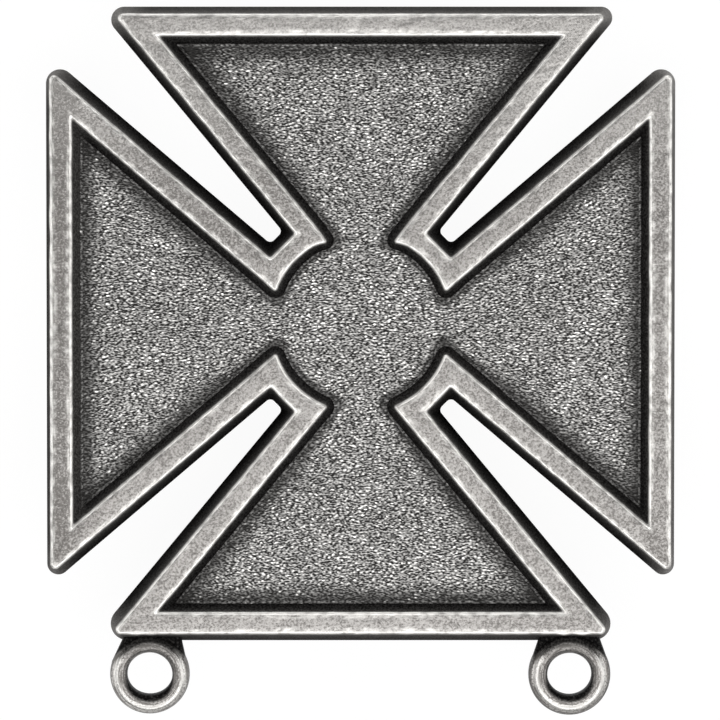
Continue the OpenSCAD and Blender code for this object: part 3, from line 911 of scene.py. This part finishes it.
# Bright nickel plate on pressed brass: clear soft reflections with a faint warm cast,
# dulled by handling marks about 0.9 mm across and by a few scratches side by side
nickel_finish, tree = new_finish("nickel_plated_brass")
place = add(tree, "ShaderNodeTexCoord").outputs["Object"]
marks = add(tree, "ShaderNodeTexNoise", inputs={
    "Vector": place, "Scale": per_mm(0.9), "Detail": 5.0, "Roughness": 0.62}).outputs["Fac"]
scratch_place = add(tree, "ShaderNodeMapping", inputs={
    "Vector": place, "Rotation": (0.0, 0.0, 0.6), "Scale": (1.0, 9.0, 1.0)}).outputs[0]
scratch = add(tree, "ShaderNodeTexNoise", inputs={
    "Vector": scratch_place, "Scale": per_mm(1.2), "Detail": 3.0}).outputs["Fac"]
dulled = add(tree, "ShaderNodeMapRange", inputs={
    "Value": marks, "From Min": 0.35, "From Max": 0.7, "To Max": 0.55}).outputs["Result"]
nickel_colour = add(tree, "ShaderNodeMix", {"data_type": "RGBA"}, {
    0: dulled, 6: linear("#d8d3c9"), 7: linear("#a39c8e")}).outputs[2]
nickel_roughness = add(tree, "ShaderNodeMapRange", inputs={
    "Value": marks, "From Min": 0.3, "From Max": 0.7, "To Min": 0.16, "To Max": 0.34}).outputs["Result"]
nickel_bump = add(tree, "ShaderNodeBump", inputs={
    "Strength": 0.15, "Distance": 0.00002, "Height": scratch}).outputs["Normal"]
close_finish(tree, add(tree, "ShaderNodeBsdfPrincipled", inputs={
    "Base Color": nickel_colour, "Metallic": 1.0, "Roughness": nickel_roughness, "Normal": nickel_bump}))
radii, levels = clutch_profile()
for side, centre_x in post_places.items():
    points = [lathe(centre_x, radii, levels, clutch_sides)]
    faces = [wrapped_faces(len(radii), clutch_sides)]
    caps = end_caps(len(radii), clutch_sides)
    for way in (-1, 1):
        wing = wing_shell(centre_x, way)
        first = sum(len(group) for group in points)
        faces.append(wrapped_faces(len(wing), wing_sides, first)[:, ::-1])
        caps += [cap[::-1] for cap in end_caps(len(wing), wing_sides, first)]
        points.append(wing.reshape(-1, 3))
    clutch = build_piece("spring_clutch_" + side, np.concatenate(points), np.concatenate(faces), caps=caps)
    clutch.data.materials.append(nickel_finish)
    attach(clutch, "root")
    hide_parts("clutch_" + side)


# The floor is a plain pale matt sheet that glows, so that it stays even and nearly
# white, and that curves up far away.
floor_sides = 96


def sweep_sheet(name):
    """A sheet of revolution: flat out to 0.7 m, then a quarter circle upwards."""
    angle = np.linspace(0, 2 * np.pi, floor_sides, endpoint=False)
    turn = np.radians(np.linspace(0, 90, 16))
    radii = np.concatenate([[10.0, 200.0, 700.0], 700 + 300 * np.sin(turn)])
    levels = np.concatenate([[0.0, 0.0, 0.0], 300 * (1 - np.cos(turn))])
    x, y = radii[:, None] * np.cos(angle), radii[:, None] * np.sin(angle)
    points = np.stack([x, y, levels[:, None] + 0 * angle], axis=-1).reshape(-1, 3)
    faces = wrapped_faces(len(radii), floor_sides)[:, ::-1]
    return build_piece(name, points, faces, caps=[np.arange(floor_sides)])


pale_floor, tree = new_finish("pale_matt_sheet")
close_finish(tree, add(tree, "ShaderNodeBsdfPrincipled", inputs={
    "Base Color": linear("#585858"), "Roughness": 0.9,
    "Emission Color": linear("#ffffff"), "Emission Strength": 0.92}))
floor = sweep_sheet("pale_sheet")
floor.data.materials.append(pale_floor)


# The light is four soft panels of one size in a dim grey room: one overhead, and
# three lower down at the far, the left and the right side. They are in metres.
panel_width = 0.3


def soft_panel(name, place, power):
    """A square lamp, turned to look from its place to the badge: it tilts by the
    angle between its line and straight down, about a level axis."""
    lamp = bpy.data.lights.new(name, "AREA")
    lamp.shape, lamp.size, lamp.energy = "SQUARE", panel_width, power
    panel = bpy.data.objects.new(name, lamp)
    panel.location = place
    x, y, z = place
    panel.rotation_euler = (np.arctan2(np.hypot(x, y), z), 0.0, np.arctan2(x, -y))
    bpy.context.scene.collection.objects.link(panel)


soft_panel("panel_above", (0.02, -0.115, 0.36), 0.75)
soft_panel("panel_far", (0.0, 0.44, 0.16), 0.85)
soft_panel("panel_left", (-0.42, 0.0, 0.2), 0.6)
soft_panel("panel_right", (0.42, 0.0, 0.2), 0.6)
room = bpy.data.worlds.new("dim_room")
room.use_nodes = True
room.node_tree.nodes["Background"].inputs["Color"].default_value = (0.08, 0.08, 0.08, 1.0)
bpy.context.scene.world = room
bpy.context.scene.view_settings.view_transform = "Standard"

# The camera looks almost straight down at the face, from a little towards the top
# arm. It is placed in metres too, and its frame is 29.03 mm wide at the aim.
tilt = np.radians(3.05)
distance, frame_width = 0.25, 0.02903
aim = np.array([-0.000025, 0.000077, 0.0065])
camera = bpy.data.cameras.new("camera")
camera.sensor_width = 36.0
camera.lens = camera.sensor_width * distance / frame_width
camera.clip_start, camera.clip_end = 0.01, 5.0
viewer = bpy.data.objects.new("camera", camera)
viewer.location = aim + distance * np.array([0.0, np.sin(tilt), np.cos(tilt)])
viewer.rotation_euler = (-tilt, 0.0, 0.0)
bpy.context.scene.collection.objects.link(viewer)
bpy.context.scene.camera = viewer
